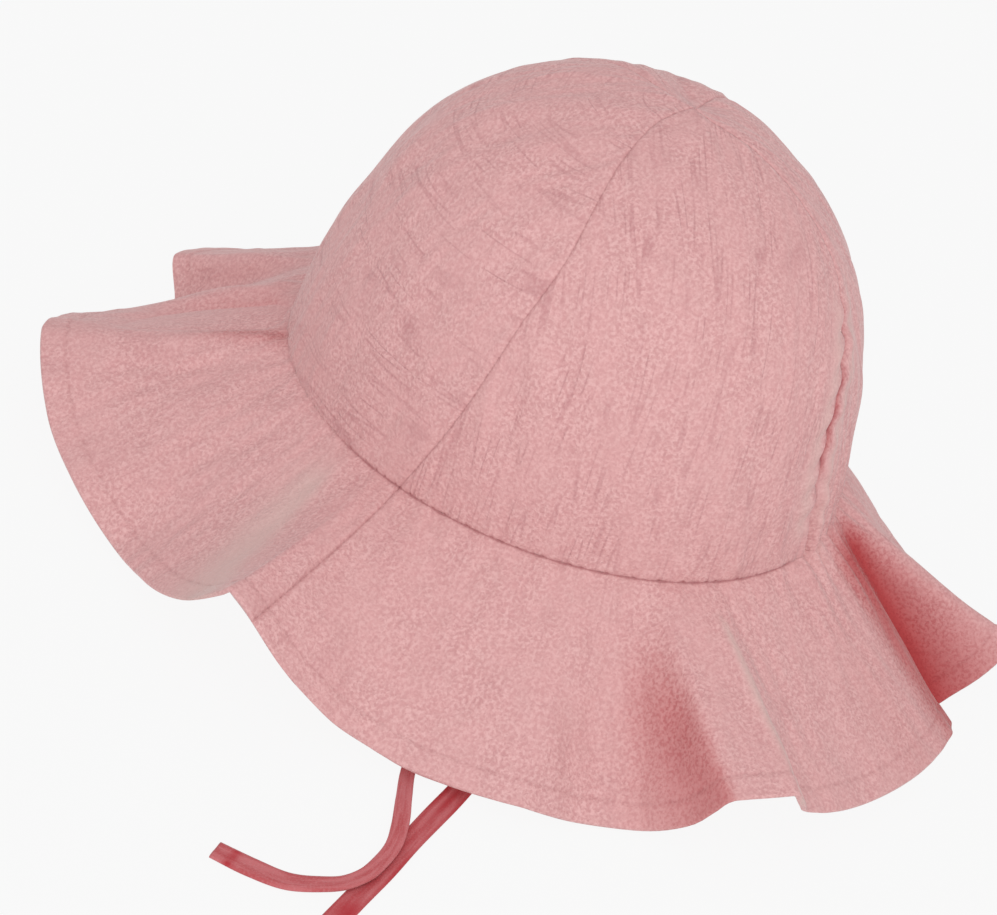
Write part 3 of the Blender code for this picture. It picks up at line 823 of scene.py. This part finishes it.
def brim_height(azimuth, share, around, to_seam):
    """How far the cloth stands out of the smooth brim, how dark its seams are with the painted shade at
    them, and its folds' painted shade and sheen.
    """
    out = share * BRIM_WIDTH
    soft = 0.00026 * ripples(around, out, 21, (0.014, 0.035), (0.03, 0.08))
    soft = soft + 0.00010 * ripples(around, out, 22, (0.005, 0.010), (0.02, 0.05))
    elastic = gathered(azimuth)
    root = -0.00012 * bell(out, 0.0006) * (1 - elastic)
    plain = seam_shown(azimuth, elastic)
    tuck = tucks(azimuth, out) * (0.00014 * bell(out, 0.008) + 0.00050 * elastic * bell(out, 0.016))
    to_hem = BRIM_WIDTH - out
    stitch = 0.6 + 0.4 * np.sin(around / 0.00042)
    hem = 0.00024 * smooth_step(to_hem, 0.0068, 0.0056)
    hem = hem - 0.00026 * bell(to_hem - HEM_STITCH, 0.0006) * stitch
    ditch = -0.00045 * bell(to_seam, 0.0005) + 0.00015 * bell(to_seam - 0.002, 0.0012)
    thread_and_painted_shade = 0.42 * bell(to_seam, 0.00028) * (0.65 + 0.35 * np.sin(out / 0.00045))
    # the dark line where brim meets crown is painted shade in the gap
    line = 0.55 * bell(out, 0.00026) * plain
    thread = 0.16 * bell(to_hem - HEM_STITCH, 0.0004) * stitch
    thread_and_painted_shade = np.maximum(np.maximum(thread_and_painted_shade, line), thread)
    ends = smooth_step(out, 0.0, 0.004) * smooth_step(to_seam, 0.0, 0.003)
    fold, painted_shade_sheen = brim_folds(azimuth, share)
    return soft * ends + root + tuck + hem + ditch + fold, np.clip(thread_and_painted_shade, 0, 1), np.clip(painted_shade_sheen, -1, 1)


def add_brim_half(name, first, node):
    columns, rows = 480, 86
    azimuth = first + 180 * clustered(columns, 0.25, fine=4.0, reach=0.002)[None, :]
    share = clustered(rows, BRIM_WIDTH, fine=2.5, reach=0.003)[:, None]
    azimuth, share = azimuth + 0 * share, share + 0 * azimuth
    base = brim_surface(azimuth, share)
    step = np.linalg.norm(np.diff(base, axis=1), axis=-1)
    run = np.concatenate([np.zeros((rows + 1, 1)), np.cumsum(step, axis=1)], axis=1)
    to_seam = np.minimum(run, run[:, -1:] - run)
    around = np.radians(azimuth) * BRIM_RADIUS
    normal = grid_normals(base)
    height, thread_and_painted_shade, painted_shade_sheen = brim_height(azimuth, share, around, to_seam)
    outer = base + normal * height[..., None]
    inner = base - normal * CLOTH
    edge = base[-1] - base[-2]
    edge = 0.00045 * edge / np.linalg.norm(edge, axis=-1, keepdims=True)
    # the root goes up inside the crown, where the seam holds it
    _, out = seam_ring(azimuth[0])
    up = np.concatenate([-0.0010 * out, np.full((columns + 1, 1), 0.0016)], -1)[None]
    outer = np.concatenate([outer[:1] + up, outer])
    inner = np.concatenate([inner[:1] + up, inner])
    uv = np.stack([around * 100, share * BRIM_WIDTH * 100 + BRIM_UV], -1)
    wider = lambda grid: np.concatenate([grid[:1], grid])
    obj = cloth_wall(name, outer, inner, wider(uv), wider(thread_and_painted_shade), wider(painted_shade_sheen), edge, cotton)
    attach(obj, "root")
    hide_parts(node)
    return obj


# each half is cut as a sector of a flat ring, a little over half round
add_brim_half("brim_cloth_back", 0.0, "brim_back")
add_brim_half("brim_cloth_front", 180.0, "brim_front")

# Floor and light


def add_floor():
    bpy.ops.mesh.primitive_plane_add(size=6, location=(0, 0, 0))
    floor = bpy.context.object
    floor.name = "floor"
    material = bpy.data.materials.new("pale_floor")
    n = Nodes(material)
    n.shader.inputs["Base Color"].default_value = (0.03, 0.03, 0.03, 1)
    n.shader.inputs["Roughness"].default_value = 1.0
    n.shader.inputs["Specular IOR Level"].default_value = 0.0
    n.shader.inputs["Emission Color"].default_value = (1, 1, 1, 1)
    n.shader.inputs["Emission Strength"].default_value = 0.915
    floor.data.materials.append(material)


def add_area(name, location, aim, size, power):
    data = bpy.data.lights.new(name, "AREA")
    data.shape, data.size, data.energy = "DISK", size, power
    lamp = bpy.data.objects.new(name, data)
    bpy.context.scene.collection.objects.link(lamp)
    lamp.location = location
    lamp.rotation_euler = (Vector(aim) - Vector(location)).to_track_quat("-Z", "Y").to_euler()


add_floor()
add_area("key", (0.97, 0.72, 1.12), aim=(0, 0, 0.06), size=1.5, power=11)
world = bpy.data.worlds.new("studio")
world.use_nodes = True
world.node_tree.nodes["Background"].inputs["Color"].default_value = (1, 1, 1, 1)
world.node_tree.nodes["Background"].inputs["Strength"].default_value = 0.70
bpy.context.scene.world = world
bpy.context.scene.view_settings.view_transform = "Standard"
bpy.context.scene.view_settings.look = "None"
